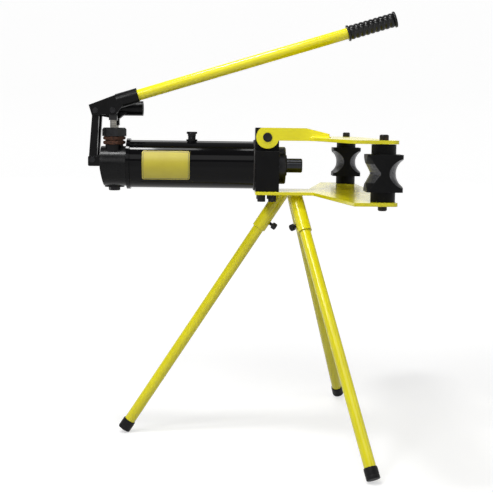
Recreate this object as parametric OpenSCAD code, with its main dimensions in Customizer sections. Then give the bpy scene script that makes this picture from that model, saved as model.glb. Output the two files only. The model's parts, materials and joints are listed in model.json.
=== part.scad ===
// Hydraulic pipe bender on a three-legged stand.
// X runs along the ram, from the pumps at the rear to the bending frame at the front. Z is up.
// Sizes are in millimetres. The floor is at zero, and the box of the whole object is centred over the origin.

/* [Ram and cylinder] */
// Height of the ram axis above the floor
ram_height = 617; // [560:1:680]
// Outer diameter of the reservoir tube
tube_d = 106; // [100:1:112]
// Wall of the reservoir tube
tube_wall = 4; // [3:0.5:6]
// Length of the reservoir tube
tube_length = 278; // [270:1:320]
// Outer diameter of the rear cap
rear_cap_d = 113; // [110:1:118]
// Thickness of the rear cap's rim
rear_cap_t = 8; // [6:0.5:10]
// Bore of the pressure cylinder inside the reservoir
pressure_bore = 50; // [46:1:54]
// Wall of the pressure cylinder
pressure_wall = 8; // [6:0.5:10]
// Diameter of the ram
ram_d = 36; // [34:0.5:38]
// Diameter of the ram's nose, which the bending dies sit on
nose_d = 32; // [28:0.5:33]
// Length of the ram's nose
nose_length = 35; // [25:1:45]
// Length of the piston
piston_length = 36; // [30:1:44]
// Stroke of the ram
ram_stroke = 170; // [120:1:180]
// Wire diameter of the return spring
spring_wire = 4; // [3:0.5:5]

/* [Head block] */
// Thickness of the head block along the ram
block_t = 52; // [46:1:60]
// Width of the lower part of the head block
block_w = 124; // [116:1:136]
// Width of the upper lug of the head block
lug_w = 76; // [70:1:84]
// Height of the upper lug's top above the hinge axis
lug_top = 21; // [18:0.5:23]
// Height of the shoulder under the hinge axis
lug_drop = 30; // [27:1:32]
// Diameter of the hinge pin
hinge_d = 20; // [16:0.5:24]
// Outer diameter of the gland ring
gland_d = 83; // [76:1:90]
// Thickness of the gland ring
gland_t = 16; // [12:1:20]

/* [Bending frame] */
// Thickness of both bending plates
plate_t = 7; // [6:0.5:9]
// Clear gap between the bending plates
plate_gap = 112; // [106:1:118]
// Half the width of the plates at the wing tips
wing_half = 383; // [360:1:420]
// Half the width of the stem under the head block
stem_half = 70; // [66:1:80]
// Front edge of the plates, from the hinge axis
wing_front = 240; // [236:1:260]
// Rear corner of the wing tips, from the hinge axis
wing_rear = 155; // [140:1:165]
// Place where the wings leave the stem, from the hinge axis
wing_root = 101; // [99:1:110]
// Rear edge of the upper plate, from the hinge axis
upper_rear = 93; // [90:1:97]
// Thickness of the lug arms
arm_t = 12; // [10:0.5:14]
// Outer diameter of the lug arms' eyes
eye_d = 50; // [44:1:54]
// Front end of the lug arms, from the hinge axis
arm_front = 136; // [128:1:145]

/* [Rollers] */
// Distance of the roller axes from the hinge axis, along the ram
roller_x = 215; // [210:1:217]
// Distance of the roller axes from the wing tips
roller_inset = 41; // [39:1:46]
// Spacing of the spare roller holes across the plates
hole_pitch = 57; // [50:1:64]
// Spare roller holes on each side
spare_holes = 2; // [1:1:3]
// Diameter of the roller pins
roller_pin_d = 18; // [16:0.5:20]
// Width of the four-sided roller block
roller_w = 70; // [66:1:74]
// Height of the four-sided roller block
roller_block_h = 72; // [66:1:76]
// Diameter of the round collars
collar_d = 48; // [42:1:52]
// Radius of the round groove
groove_r = 31; // [29:0.5:34]
// Depth of the round grooves at the middle of a side
groove_depth = 11; // [9:0.5:13]
// Depth of the V groove at the middle of a side
vee_depth = 9; // [7:0.5:11]
// Radius of the grooves' floor seen from above
groove_sweep = 44; // [42:1:52]

/* [Pumps] */
// Distance of the pump axes behind the pump block's front face
pump_lead = 29; // [27:1:33]
// Distance between the two pump axes
pump_span = 50; // [48:1:56]
// Height of the pump block, which is round at both sides
pump_block_d = 88; // [84:1:92]
// Distance of the pump block's axis under the ram axis
pump_drop = 5; // [3:0.5:7]
// Length of the pump block along the ram
pump_block_length = 56; // [54:1:62]
// Diameter of the plungers
plunger_d = 14; // [12:0.5:15]
// Width of the gland nuts over their corners
nut_d = 49; // [44:0.5:51]
// Height of the gland nuts
nut_h = 19; // [16:0.5:20]
// Width of the pump fittings over their corners
fitting_d = 45; // [40:0.5:48]
// Height of the pump fittings
fitting_h = 18; // [14:0.5:19]
// Diameter of the bosses that carry the fittings
boss_d = 35; // [32:0.5:38]
// Height of the bosses' tops above the ram axis
boss_top = 43; // [42:0.5:46]

/* [Levers and links] */
// Slope of the near lever's socket at rest, in degrees
near_slope = 17; // [12:0.5:20]
// Slope of the far lever's socket at rest, in degrees
far_slope = 0.3; // [-2:0.1:4]
// Distance between the two pins of a lever
lever_arm = 38; // [36:0.5:42]
// Length of the links between their pins
link_length = 108.2; // [104:0.1:114]
// Width of the links at the lever
link_w = 14.5; // [13:0.5:17]
// Width of the links at the bracket
link_foot_w = 17.5; // [14:0.5:18]
// Thickness of the links
link_t = 14; // [10:0.5:14]
// Diameter of the pivot pins
pivot_d = 10; // [8:0.5:11]
// Outer diameter of the handle sockets
socket_d = 33; // [31:0.5:36]
// Distance of the socket's mouth from the link pin
socket_end = 99; // [92:1:108]
// Depth of the handle sockets
socket_depth = 48; // [40:1:50]
// Thickness of the lever cheeks
cheek_t = 6; // [5:0.5:7]

/* [Handle] */
// Outer diameter of the handle tube
handle_d = 25; // [22:0.5:26]
// Wall of the handle tube
handle_wall = 2.5; // [2:0.25:4]
// Length of the handle tube and its grip beyond the socket
handle_length = 591; // [500:1:620]
// Length of the grip
grip_length = 111; // [90:1:130]
// Diameter of the grip's end flanges
grip_flange_d = 36; // [34:0.5:40]
// Diameter of the grip's ribs
grip_rib_d = 32; // [31:0.5:33]
// Diameter of the grip between its ribs
grip_d = 29.5; // [28.5:0.5:30]
// Ribs on the grip
grip_ribs = 8; // [6:1:9]

/* [Stand] */
// Angle of the legs from the vertical, in degrees
leg_splay = 33; // [28:0.5:36]
// Turn of the front legs from the ram's direction, in degrees
front_leg_angle = 65.5; // [60:0.5:72]
// Outer diameter of the leg tubes
leg_d = 25; // [22:0.5:26]
// Wall of the leg tubes
leg_wall = 2.5; // [2:0.25:4]
// Outer diameter of the leg sockets
leg_socket_d = 31; // [30:0.5:34]
// Length of the leg sockets
leg_socket_length = 93; // [80:1:105]
// Place of the rear leg under the plate, from the hinge axis
rear_leg_x = 35; // [30:1:36]
// Place of the front legs under the plate, from the hinge axis
front_leg_x = 63; // [62:1:66]
// Distance of the front legs from the middle under the plate
front_leg_y = 32; // [28:1:36]
// Diameter of the rubber foot caps
foot_d = 29; // [28:0.5:32]
// Length of the rubber foot caps
foot_length = 25; // [20:1:32]
// Diameter of the thumb screws' shanks
thumb_d = 8; // [6:0.5:9]
// Diameter of the thumb screws' heads
thumb_head_d = 15; // [13:0.5:17]

/* [Hidden] */
$fn = 64;

// Shared clearances and cut overrun
overrun = 1;
running_fit = 0.05;
seat_gap = 0.3;
side_gap = 0.5;

// Heights
ram_z = ram_height;
lower_top_z = ram_z - plate_gap / 2;
lower_under_z = lower_top_z - plate_t;
upper_under_z = ram_z + plate_gap / 2;
upper_top_z = upper_under_z + plate_t;
hinge_z = upper_top_z;
shoulder_z = hinge_z - lug_drop;
lug_top_z = hinge_z + lug_top;

// Places along the ram
block_rear = -block_t / 2;
block_front = block_t / 2;
tube_rear = block_rear - tube_length;
pump_front = tube_rear - rear_cap_t;
pump_rear = pump_front - pump_block_length;
gland_front = block_front + gland_t;
wiper_t = 3;
wiper_d = 46;
wiper_front = gland_front + wiper_t;
nose_chamfer = 2;
pump_x = pump_front - pump_lead;
pump_y = pump_span / 2;

// Cylinder details
tube_bore = tube_d - 2 * tube_wall;
weld_leg = 3;
pressure_d = pressure_bore + 2 * pressure_wall;
pressure_seat = 12;
pressure_front = block_rear + pressure_seat;
cap_spigot = 8;
piston_clearance = 0.1;
piston_rest = 12;
piston_rear = tube_rear + piston_rest;
piston_front = piston_rear + piston_length;
seal_w = 6;
seal_depth = 5;
seal_x = piston_rear + (piston_length - seal_w) / 2;
spring_gap = 0.6;
spring_spare_turns = 4;
spring_turns = floor((pressure_front - piston_front - ram_stroke) / spring_wire) - spring_spare_turns;
spring_ring_d = (ram_d + pressure_bore) / 2;
spring_rear = piston_front + spring_gap + spring_wire / 2;
spring_front = pressure_front - spring_gap - spring_wire / 2;

// Filler details
filler_ahead = 136;
filler_x = tube_rear + filler_ahead;
filler_boss_d = 25;
filler_boss_rise = 3;
filler_neck_d = 18;
filler_neck_gap = 12;
filler_cap_d = 24;
filler_cap_t = 5;
filler_hex_h = 4;
filler_depth = 10;
filler_hex_share = 0.8;
tube_top_z = ram_z + tube_d / 2;
filler_boss_z = tube_top_z + filler_boss_rise;
filler_cap_z = filler_boss_z + filler_neck_gap;

// Pump details
boss_z = ram_z + boss_top;
fitting_z = boss_z + fitting_h;
pump_block_spread = 12;
rear_draft_angle = 9;
rear_draft_drop = 9;
fitting_groove = 2;
bead_h = (fitting_h - fitting_groove) / 2;
fitting_core_d = 35;
chamfer_rise_share = 0.2;
chamfer_width_share = 0.86;
plunger_depth = 34;
bottom_boss_d = 45;
bottom_boss_drop = 3;
pump_z = ram_z - pump_drop;
bottom_boss_z = pump_z - pump_block_d / 2 - bottom_boss_drop;
plug_d = 26;
plug_h = 8;
plug_shank_d = 16;
plug_shank = 12;
valve_d = 14;
valve_depth = 22;
valve_neck = 8;
valve_knob_d = 30;
valve_knob_t = 12;
valve_grooves = 10;
valve_groove_d = 4;
valve_y = pump_block_d / 2 + pump_block_spread;

// Linkage: the rear pin, and each lever's pins worked out from its slope
bracket_back = 18;
bracket_rise = 9;
bracket_over = 8;
bracket_under = 14;
bracket_beyond = 9.5;
bracket_corner_r = 3;
bracket_ear_t = 6;
bracket_base_t = 3.5;
bracket_x = pump_rear - bracket_back;
bracket_z = ram_z + bracket_rise;
lever_pin_offset_angle = -15.5;
slot_half = link_t / 2 + side_gap;
lever_w = 2 * slot_half + 2 * cheek_t;
link_eye_r = 9;
cheek_back = 10.5;
cheek_rise = 16;
cheek_drop = 9;
lever_plunger_r = 11;
lobe_share = 0.7;
socket_lift = 6;
socket_step = 2;
socket_root = socket_end - socket_depth - side_gap;
socket_bore = handle_d + 4 * running_fit;
web_gap = 1;
slot_ahead = 13;
plunger_eye_r = 11;
plunger_eye_play = 2.2;
plunger_neck = 22;
plunger_neck_w = 18;
pin_head_d = 12;
pin_head_t = 2.5;

function lever_pin_angle(slope) = slope + lever_pin_offset_angle;
function lever_x(slope) = pump_x - lever_arm * cos(lever_pin_angle(slope));
function lever_z(slope) = bracket_z + sqrt(pow(link_length, 2) - pow(lever_x(slope) - bracket_x, 2));
function plunger_z(slope) = lever_z(slope) + lever_arm * sin(lever_pin_angle(slope));

// Both plungers have the length that the lower one needs to reach the foot of its bore
plunger_length = plunger_z(far_slope) - (boss_z - plunger_depth + side_gap);

// Handle, measured along its socket from the link pin
handle_start = socket_end - socket_depth;
handle_end = socket_end + handle_length;
grip_start = handle_end - grip_length;
grip_end_t = 4;
tube_end = handle_end - grip_end_t;
grip_flange_t = 5;
grip_rib_t = 5;

// Frame details
corner_r = 12;
bolt_x = 12;
bolt_y = 45;
bolt_d = 12;
bolt_hole_d = 13;
bolt_head_d = 18;
bolt_head_h = 16;
bolt_depth = 24;
bolt_key_d = 11;
bolt_key_depth = 7;
lug_chamfer = 1.5;
upper_hole_play = 1;
pin_reach = 11;
pin_chamfer = 2;
arm_side = lug_w / 2 + side_gap;
arm_top_z = lug_top_z;
arm_taper_x = 85;
arm_nose = 9;
hinge_reach = 1.5;
roller_y = wing_half - roller_inset;
roller_gap = 1;
roller_h = plate_gap - roller_gap - seat_gap;
roller_z = lower_top_z + seat_gap;
collar_h = (roller_h - roller_block_h) / 2;
roller_corner_r = 10;
vee_half_angle = 62;
vee_floor_half = 2;

// Stand details
foot_end_rise = foot_d / 2 * sin(leg_splay);
leg_total = (lower_under_z - foot_end_rise) / cos(leg_splay);
leg_top = (leg_d / 2 * sin(leg_splay) + seat_gap) / cos(leg_splay);
foot_wall = 5;
leg_end = leg_total - foot_wall;
thumb_inset = 22;
thumb_along = leg_socket_length - thumb_inset;
front_thumb_angle = 35;
thumb_stand = 6;
thumb_head_t = 11;
thumb_tip_gap = 0.3;

// The box of the whole object along the ram, which sets the origin
lowest_x = bracket_x - bracket_beyond;
highest_x = lever_x(near_slope) + handle_end * cos(near_slope)
    + (grip_flange_d / 2 - socket_lift) * sin(near_slope);
hinge_x = -(lowest_x + highest_x) / 2;

// Shift everything from the hinge axis to the origin
module placed() {
    translate([hinge_x, 0, 0]) children();
}

// Stand a solid that is turned about Z on the ram axis, so that its Z runs along the ram
module on_ram(x) {
    translate([x, 0, ram_z]) rotate([0, 90, 0]) children();
}

// A solid ring along Z
module ring(outer_d, inner_d, h) {
    difference() {
        cylinder(d = outer_d, h = h);
        translate([0, 0, -overrun]) cylinder(d = inner_d, h = h + 2 * overrun);
    }
}

// A round bar with a chamfer at its upper end
module nosed_bar(d, h, chamfer) {
    cylinder(d = d, h = h - chamfer);
    translate([0, 0, h - chamfer]) cylinder(d1 = d, d2 = d - 2 * chamfer, h = chamfer);
}

// A flat plate standing across Y, drawn in the X and Z directions
module upright(t) {
    rotate([90, 0, 0]) linear_extrude(t, center = true) children();
}

// A bar along Y, centred
module cross_bar(d, length) {
    rotate([90, 0, 0]) cylinder(d = d, h = length, center = true);
}

// Outline of a strap with round ends of two sizes and straight tangent sides
module strap(p, p_r, q, q_r) {
    run = q - p;
    turn = atan2(run.y, run.x);
    lean = acos((p_r - q_r) / norm(run));
    up = [cos(turn + lean), sin(turn + lean)];
    down = [cos(turn - lean), sin(turn - lean)];
    translate(p) circle(r = p_r);
    translate(q) circle(r = q_r);
    polygon([p + p_r * up, p + p_r * down, q + q_r * down, q + q_r * up]);
}

// A six-sided body whose corners are chamfered at the top, and at the bottom if both is true
module hex_body(d, h, both) {
    rise = h * chamfer_rise_share;
    narrow = d / 2 * chamfer_width_share;
    foot = both ? narrow : d / 2;
    intersection() {
        cylinder(d = d, h = h, $fn = 6);
        rotate_extrude() polygon([[0, 0], [foot, 0], [d / 2, rise], [d / 2, h - rise], [narrow, h], [0, h]]);
    }
}

module reservoir_tube() {
    color("#17181a") placed() difference() {
        union() {
            on_ram(tube_rear) cylinder(d = tube_d, h = tube_length);
            on_ram(block_rear - weld_leg) cylinder(d1 = tube_d, d2 = tube_d + 2 * weld_leg, h = weld_leg);
        }
        on_ram(tube_rear - overrun) cylinder(d = tube_bore, h = tube_length + 2 * overrun);
        translate([filler_x, 0, ram_z]) cylinder(d = filler_neck_d + 2 * side_gap, h = tube_d);
    }
}

module rear_cap() {
    color("#17181a") placed() difference() {
        union() {
            on_ram(pump_front) cylinder(d = rear_cap_d, h = rear_cap_t);
            on_ram(tube_rear) cylinder(d = tube_bore, h = cap_spigot);
        }
        on_ram(tube_rear) cylinder(d = pressure_d, h = cap_spigot + overrun);
    }
}

module pressure_cylinder() {
    color("#8d8f92") placed() on_ram(tube_rear)
        ring(pressure_d, pressure_bore, pressure_front - tube_rear);
}

// A wide rounded casting whose rear face slopes in below the link bracket
module pump_block() {
    r = pump_block_d / 2;
    color("#1b1c1e") placed() difference() {
        union() {
            on_ram(pump_rear) translate([pump_drop, 0]) linear_extrude(pump_block_length) {
                for (side = [-1, 1]) translate([0, side * pump_block_spread]) circle(r = r);
                square([2 * r, 2 * pump_block_spread], center = true);
            }
            for (side = [-1, 1]) {
                translate([pump_x, side * pump_y, ram_z]) cylinder(d = boss_d, h = boss_top);
            }
            translate([pump_x, 0, bottom_boss_z]) cylinder(d = bottom_boss_d, h = ram_z - bottom_boss_z);
        }
        translate([pump_rear, 0, ram_z - rear_draft_drop]) rotate([0, -rear_draft_angle, 0])
            translate([-pump_block_d, -pump_block_d, -2 * pump_block_d]) cube([1, 2, 2] * pump_block_d);
        for (side = [-1, 1]) {
            translate([pump_x, side * pump_y, boss_z - plunger_depth])
                cylinder(d = plunger_d + 2 * side_gap, h = plunger_depth + overrun);
        }
        translate([pump_x, 0, bottom_boss_z - overrun]) cylinder(d = plug_shank_d, h = plug_shank + overrun);
        translate([pump_x, valve_y - valve_depth, pump_z]) rotate([-90, 0, 0])
            cylinder(d = valve_d + 2 * running_fit, h = valve_depth + overrun);
    }
}

// Outline of one ear: a block with two eased corners behind the pin
module bracket_ear() {
    r = bracket_corner_r;
    translate([-bracket_beyond, r - bracket_under])
        square([bracket_beyond + bracket_back, bracket_under + bracket_over - 2 * r]);
    translate([r - bracket_beyond, -bracket_under])
        square([bracket_beyond + bracket_back - r, bracket_under + bracket_over]);
    for (z = [r - bracket_under, bracket_over - r]) translate([r - bracket_beyond, z]) circle(r = r);
}

module link_bracket() {
    ear_y = slot_half + bracket_ear_t / 2;
    base_half = pump_y + slot_half + bracket_ear_t;
    color("#1b1c1e") placed() difference() {
        union() {
            translate([pump_rear - bracket_base_t, -base_half, bracket_z - bracket_under])
                cube([bracket_base_t, 2 * base_half, bracket_under + bracket_over]);
            for (side = [-1, 1], ear = [-1, 1]) {
                translate([bracket_x, side * pump_y + ear * ear_y, bracket_z])
                    upright(bracket_ear_t) bracket_ear();
            }
        }
        translate([bracket_x, 0, bracket_z]) cross_bar(pivot_d, 2 * base_half + 2 * overrun);
    }
}

module bracket_pin() {
    reach = pump_y + slot_half + bracket_ear_t;
    color("#6f7174") placed() translate([bracket_x, 0, bracket_z]) {
        cross_bar(pivot_d, 2 * reach);
        for (side = [-1, 1]) {
            translate([0, side * (reach + pin_head_t / 2), 0]) cross_bar(pin_head_d, pin_head_t);
        }
    }
}

module pump_fitting(side) {
    color("#6b4a33") placed() translate([pump_x, side * pump_y, boss_z]) difference() {
        union() {
            for (z = [0, fitting_h - bead_h]) translate([0, 0, z]) hex_body(fitting_d, bead_h, true);
            cylinder(d = fitting_core_d, h = fitting_h);
        }
        translate([0, 0, -overrun]) cylinder(d = plunger_d + 2 * running_fit, h = fitting_h + 2 * overrun);
    }
}

module near_pump_fitting() pump_fitting(-1);

module far_pump_fitting() pump_fitting(1);

module gland_nut(side) {
    color("#202124") placed() translate([pump_x, side * pump_y, fitting_z]) difference() {
        hex_body(nut_d, nut_h, false);
        translate([0, 0, -overrun]) cylinder(d = plunger_d + 2 * running_fit, h = nut_h + 2 * overrun);
    }
}

module near_gland_nut() gland_nut(-1);

module far_gland_nut() gland_nut(1);

module bottom_valve_plug() {
    color("#2a2b2d") placed() translate([pump_x, 0, bottom_boss_z]) {
        mirror([0, 0, 1]) hex_body(plug_d, plug_h, false);
        cylinder(d = plug_shank_d, h = plug_shank);
    }
}

module filler_boss() {
    foot_z = tube_top_z - tube_wall;
    color("#17181a") placed() difference() {
        translate([filler_x, 0, foot_z]) cylinder(d = filler_boss_d, h = filler_boss_z - foot_z);
        on_ram(tube_rear) cylinder(d = tube_d, h = tube_length);
        translate([filler_x, 0, foot_z - overrun])
            cylinder(d = filler_neck_d + 2 * running_fit, h = filler_boss_z - foot_z + 2 * overrun);
    }
}

module filler_plug() {
    hex_d = filler_cap_d * filler_hex_share;
    color("#232427") placed() translate([filler_x, 0, 0]) {
        translate([0, 0, filler_boss_z - filler_depth])
            cylinder(d = filler_neck_d, h = filler_depth + filler_neck_gap);
        translate([0, 0, filler_cap_z]) nosed_bar(filler_cap_d, filler_cap_t, filler_cap_t / 4);
        translate([0, 0, filler_cap_z - filler_hex_h]) cylinder(d = hex_d, h = filler_hex_h, $fn = 6);
    }
}

module release_valve() {
    color("#232427") placed() translate([pump_x, valve_y, pump_z]) rotate([-90, 0, 0]) {
        translate([0, 0, seat_gap - valve_depth]) cylinder(d = valve_d, h = valve_depth + valve_neck);
        translate([0, 0, valve_neck - seat_gap]) difference() {
            nosed_bar(valve_knob_d, valve_knob_t, valve_knob_t / 6);
            for (i = [0 : valve_grooves - 1]) {
                rotate(360 * i / valve_grooves) translate([valve_knob_d / 2, 0, -overrun])
                    cylinder(d = valve_groove_d, h = valve_knob_t + 2 * overrun);
            }
        }
    }
}

module head_block() {
    lower_h = shoulder_z - lower_top_z;
    lug_h = lug_top_z - shoulder_z;
    lug_half = block_t / 2;
    color("#1c1d1f") placed() difference() {
        union() {
            translate([block_rear, -block_w / 2, lower_top_z]) cube([block_t, block_w, lower_h]);
            translate([0, 0, shoulder_z]) upright(lug_w) polygon([
                [-lug_half, 0], [lug_half, 0],
                [lug_half, lug_h - lug_chamfer], [lug_half - lug_chamfer, lug_h],
                [lug_chamfer - lug_half, lug_h], [-lug_half, lug_h - lug_chamfer]
            ]);
        }
        on_ram(block_rear - overrun) cylinder(d = ram_d + 2 * side_gap, h = block_t + 2 * overrun);
        on_ram(block_rear - overrun) cylinder(d = pressure_d, h = pressure_seat + overrun);
        translate([0, 0, hinge_z]) cross_bar(hinge_d, lug_w + 2 * overrun);
        for (x = [-bolt_x, bolt_x], y = [-bolt_y, bolt_y]) {
            translate([x, y, lower_top_z - overrun]) cylinder(d = bolt_d, h = bolt_depth + overrun);
        }
    }
}

module gland_ring() {
    edge = gland_t / 8;
    color("#2b2c2f") placed() on_ram(block_front) difference() {
        nosed_bar(gland_d, gland_t, edge);
        translate([0, 0, -overrun]) cylinder(d = ram_d + 2 * running_fit, h = gland_t + 2 * overrun);
    }
}

module rod_wiper() {
    color("#101112") placed() on_ram(gland_front) ring(wiper_d, ram_d + 2 * running_fit, wiper_t);
}

module ram_rod() {
    color("#b9bcc0") placed() {
        on_ram(piston_front) cylinder(d = ram_d, h = wiper_front - piston_front);
        on_ram(wiper_front) nosed_bar(nose_d, nose_length, nose_chamfer);
    }
}

module piston() {
    color("#9a9da1") placed() difference() {
        on_ram(piston_rear) cylinder(d = pressure_bore - 2 * piston_clearance, h = piston_length);
        on_ram(seal_x) ring(pressure_bore, pressure_bore - 2 * seal_depth, seal_w);
    }
}

module piston_seal() {
    color("#141516") placed() on_ram(seal_x)
        ring(pressure_bore - 2 * running_fit, pressure_bore - 2 * seal_depth, seal_w);
}

// One unbroken round wire wound about the ram, as a polyhedron of rings
module return_spring() {
    sides = 6;
    rings_per_turn = 8;
    rings = spring_turns * rings_per_turn;
    r = spring_ring_d / 2;
    wire_r = spring_wire / 2;
    run = spring_front - spring_rear;
    echo(spring_least_gap = run / spring_turns - spring_wire);
    points = [
        for (i = [0 : rings], k = [0 : sides - 1])
            let (a = 360 * i / rings_per_turn, b = 360 * k / sides, reach = r + wire_r * cos(b))
                [reach * cos(a), reach * sin(a), run * i / rings + wire_r * sin(b)]
    ];
    walls = [
        for (i = [0 : rings - 1], k = [0 : sides - 1], half = [0, 1])
            let (p = i * sides + k, q = i * sides + (k + 1) % sides)
                half == 0 ? [p, p + sides, q] : [q, p + sides, q + sides]
    ];
    first_end = [for (k = [1 : sides - 2]) [0, k, k + 1]];
    last_end = [for (k = [1 : sides - 2]) [rings * sides, rings * sides + k + 1, rings * sides + k]];
    color("#75787c") placed() on_ram(spring_rear)
        polyhedron(points, concat(walls, first_end, last_end));
}

module hinge_pin() {
    color("#26272a") placed() translate([0, 0, hinge_z])
        cross_bar(hinge_d, 2 * (arm_side + arm_t + hinge_reach));
}

// Outline of a bending plate, from a rear edge to the front edge, alike on both sides of the ram
module wing_outline(rear) {
    half = [[rear, stem_half], [wing_root, stem_half], [wing_rear, wing_half], [wing_front, wing_half]];
    last = len(half) - 1;
    difference() {
        polygon(concat(half, [for (i = [0 : last]) [half[last - i].x, -half[last - i].y]]));
        for (side = [0, 1]) mirror([0, side]) translate([wing_front - corner_r, wing_half - corner_r])
            difference() {
                square(corner_r + overrun);
                circle(r = corner_r);
            }
    }
}

// Places of the roller holes: the pair in use first, then the spare pairs towards the middle
roller_places = [
    for (i = [0 : spare_holes], side = [-1, 1]) [roller_x, side * (roller_y - i * hole_pitch)]
];

module lower_plate() {
    color("#dccf28") placed() translate([0, 0, lower_under_z]) linear_extrude(plate_t) difference() {
        wing_outline(block_rear);
        for (p = roller_places) translate(p) circle(d = roller_pin_d + 2 * running_fit);
        for (x = [-bolt_x, bolt_x], y = [-bolt_y, bolt_y]) translate([x, y]) circle(d = bolt_hole_d);
    }
}

module base_bolts() {
    color("#26272a") placed() for (x = [-bolt_x, bolt_x], y = [-bolt_y, bolt_y]) {
        translate([x, y, lower_under_z]) difference() {
            union() {
                cylinder(d = bolt_d, h = plate_t + bolt_depth);
                mirror([0, 0, 1]) nosed_bar(bolt_head_d, bolt_head_h, bolt_head_h / 12);
            }
            translate([0, 0, -bolt_head_h - overrun])
                cylinder(d = bolt_key_d, h = bolt_key_depth + overrun, $fn = 6);
        }
    }
}

module upper_plate() {
    color("#dccf28") placed() translate([0, 0, upper_under_z]) linear_extrude(plate_t) difference() {
        wing_outline(upper_rear);
        for (p = roller_places) translate(p) circle(d = roller_pin_d + 2 * upper_hole_play);
    }
}

module lug_arm(side) {
    under = upper_under_z - hinge_z;
    top = arm_top_z - hinge_z;
    rest = upper_top_z - hinge_z;
    color("#dccf28") placed() translate([0, side * (arm_side + arm_t / 2), hinge_z]) upright(arm_t)
        difference() {
            union() {
                difference() {
                    circle(d = eye_d);
                    translate([-eye_d / 2, top]) square(eye_d);
                }
                polygon([
                    [0, under], [upper_rear, under], [upper_rear, rest], [arm_front, rest],
                    [arm_front, arm_nose], [arm_taper_x, top], [0, top]
                ]);
            }
            circle(d = hinge_d + 2 * running_fit);
        }
}

module near_lug_arm() lug_arm(-1);

module far_lug_arm() lug_arm(1);

// A ring that cuts a round groove, its floor curved about the Z axis
module round_cutter() {
    rotate_extrude() translate([groove_sweep + groove_r, 0]) circle(r = groove_r);
}

// A ring that cuts a V groove, its floor curved about the Z axis
module vee_cutter() {
    reach = roller_w;
    spread = reach * tan(vee_half_angle);
    rotate_extrude() polygon([
        [groove_sweep, -vee_floor_half], [groove_sweep + reach, -vee_floor_half - spread],
        [groove_sweep + reach, vee_floor_half + spread], [groove_sweep, vee_floor_half]
    ]);
}

// A pivot block: square in plan with a groove across two sides, between two round collars
module roller(side, vee_rear) {
    half = roller_w / 2;
    front_x = half - groove_depth - groove_sweep;
    rear_x = vee_rear ? half - vee_depth - groove_sweep : front_x;
    color("#1b1c1f") placed() translate([roller_x, side * roller_y, roller_z]) difference() {
        union() {
            cylinder(d = collar_d, h = roller_h);
            translate([0, 0, collar_h]) linear_extrude(roller_block_h) union() {
                square([roller_w, roller_w - 2 * roller_corner_r], center = true);
                square([roller_w - 2 * roller_corner_r, roller_w], center = true);
                for (x = [-1, 1], y = [-1, 1]) {
                    translate([x, y] * (half - roller_corner_r)) circle(r = roller_corner_r);
                }
            }
        }
        translate([front_x, 0, roller_h / 2]) intersection() {
            round_cutter();
            translate([-front_x, -roller_w, -roller_block_h / 2])
                cube([roller_w, 2 * roller_w, roller_block_h]);
        }
        mirror([1, 0, 0]) translate([rear_x, 0, roller_h / 2]) intersection() {
            if (vee_rear) vee_cutter();
            else round_cutter();
            translate([-rear_x, -roller_w, -roller_block_h / 2])
                cube([roller_w, 2 * roller_w, roller_block_h]);
        }
        translate([0, 0, -overrun]) cylinder(d = roller_pin_d, h = roller_h + 2 * overrun);
    }
}

module near_roller() roller(-1, true);

module far_roller() roller(1, false);

module roller_pin(side) {
    low = lower_under_z - pin_reach;
    high = upper_top_z + pin_reach;
    color("#8f9296") placed() translate([roller_x, side * roller_y, ram_z]) {
        nosed_bar(roller_pin_d, high - ram_z, pin_chamfer);
        mirror([0, 0, 1]) nosed_bar(roller_pin_d, ram_z - low, pin_chamfer);
    }
}

module near_roller_pin() roller_pin(-1);

module far_roller_pin() roller_pin(1);

module link(side, slope) {
    top = [lever_x(slope) - bracket_x, lever_z(slope) - bracket_z];
    color("#1d1e20") placed() translate([bracket_x, side * pump_y, bracket_z]) upright(link_t) difference() {
        union() {
            strap([0, 0], link_foot_w / 2, top, link_w / 2);
            circle(r = link_eye_r);
            translate(top) circle(r = link_eye_r);
        }
        circle(d = pivot_d + 2 * running_fit);
        translate(top) circle(d = pivot_d + 2 * running_fit);
    }
}

module near_link() link(-1, near_slope);

module far_link() link(1, far_slope);

// Place a child drawn along a lever's socket, from its link pin
module on_lever(side, slope) {
    placed() translate([lever_x(slope), side * pump_y, lever_z(slope)]) rotate([0, -slope, 0]) children();
}

// Where the plunger pin lies, drawn along the lever's socket
plunger_pin_place = lever_arm * [cos(lever_pin_offset_angle), sin(lever_pin_offset_angle)];

// A lever: a channel, whose two cheeks hold the link and the plunger under a web, and a round handle socket
module lever(side, slope) {
    root = [socket_root + socket_step, socket_lift];
    root_r = socket_d / 2 - socket_step;
    color("#1e1f21") on_lever(side, slope) difference() {
        union() {
            upright(lever_w) {
                strap(plunger_pin_place, lever_plunger_r, root, root_r);
                polygon([
                    [-cheek_back, cheek_rise], [-cheek_back, -cheek_drop],
                    plunger_pin_place - [0, lever_plunger_r * lobe_share],
                    root, root + [0, root_r]
                ]);
            }
            translate([socket_root, 0, socket_lift]) rotate([0, 90, 0])
                cylinder(d = socket_d, h = socket_end - socket_root);
        }
        translate([-cheek_back - overrun, -slot_half, -2 * socket_d])
            cube([
                cheek_back + overrun + plunger_pin_place.x + slot_ahead,
                2 * slot_half,
                2 * socket_d + link_eye_r + web_gap
            ]);
        translate([handle_start, 0, socket_lift]) rotate([0, 90, 0])
            cylinder(d = socket_bore, h = socket_depth + overrun);
        cross_bar(pivot_d, lever_w + 2 * overrun);
        translate([plunger_pin_place.x, 0, plunger_pin_place.y]) cross_bar(pivot_d, lever_w + 2 * overrun);
    }
}

module near_lever() lever(-1, near_slope);

module far_lever() lever(1, far_slope);

// A headed pin through both cheeks
module cheek_pin() {
    color("#6f7174") {
        cross_bar(pivot_d, lever_w);
        for (end = [-1, 1]) {
            translate([0, end * (lever_w + pin_head_t) / 2, 0]) cross_bar(pin_head_d, pin_head_t);
        }
    }
}

module near_link_pin() on_lever(-1, near_slope) cheek_pin();

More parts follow.
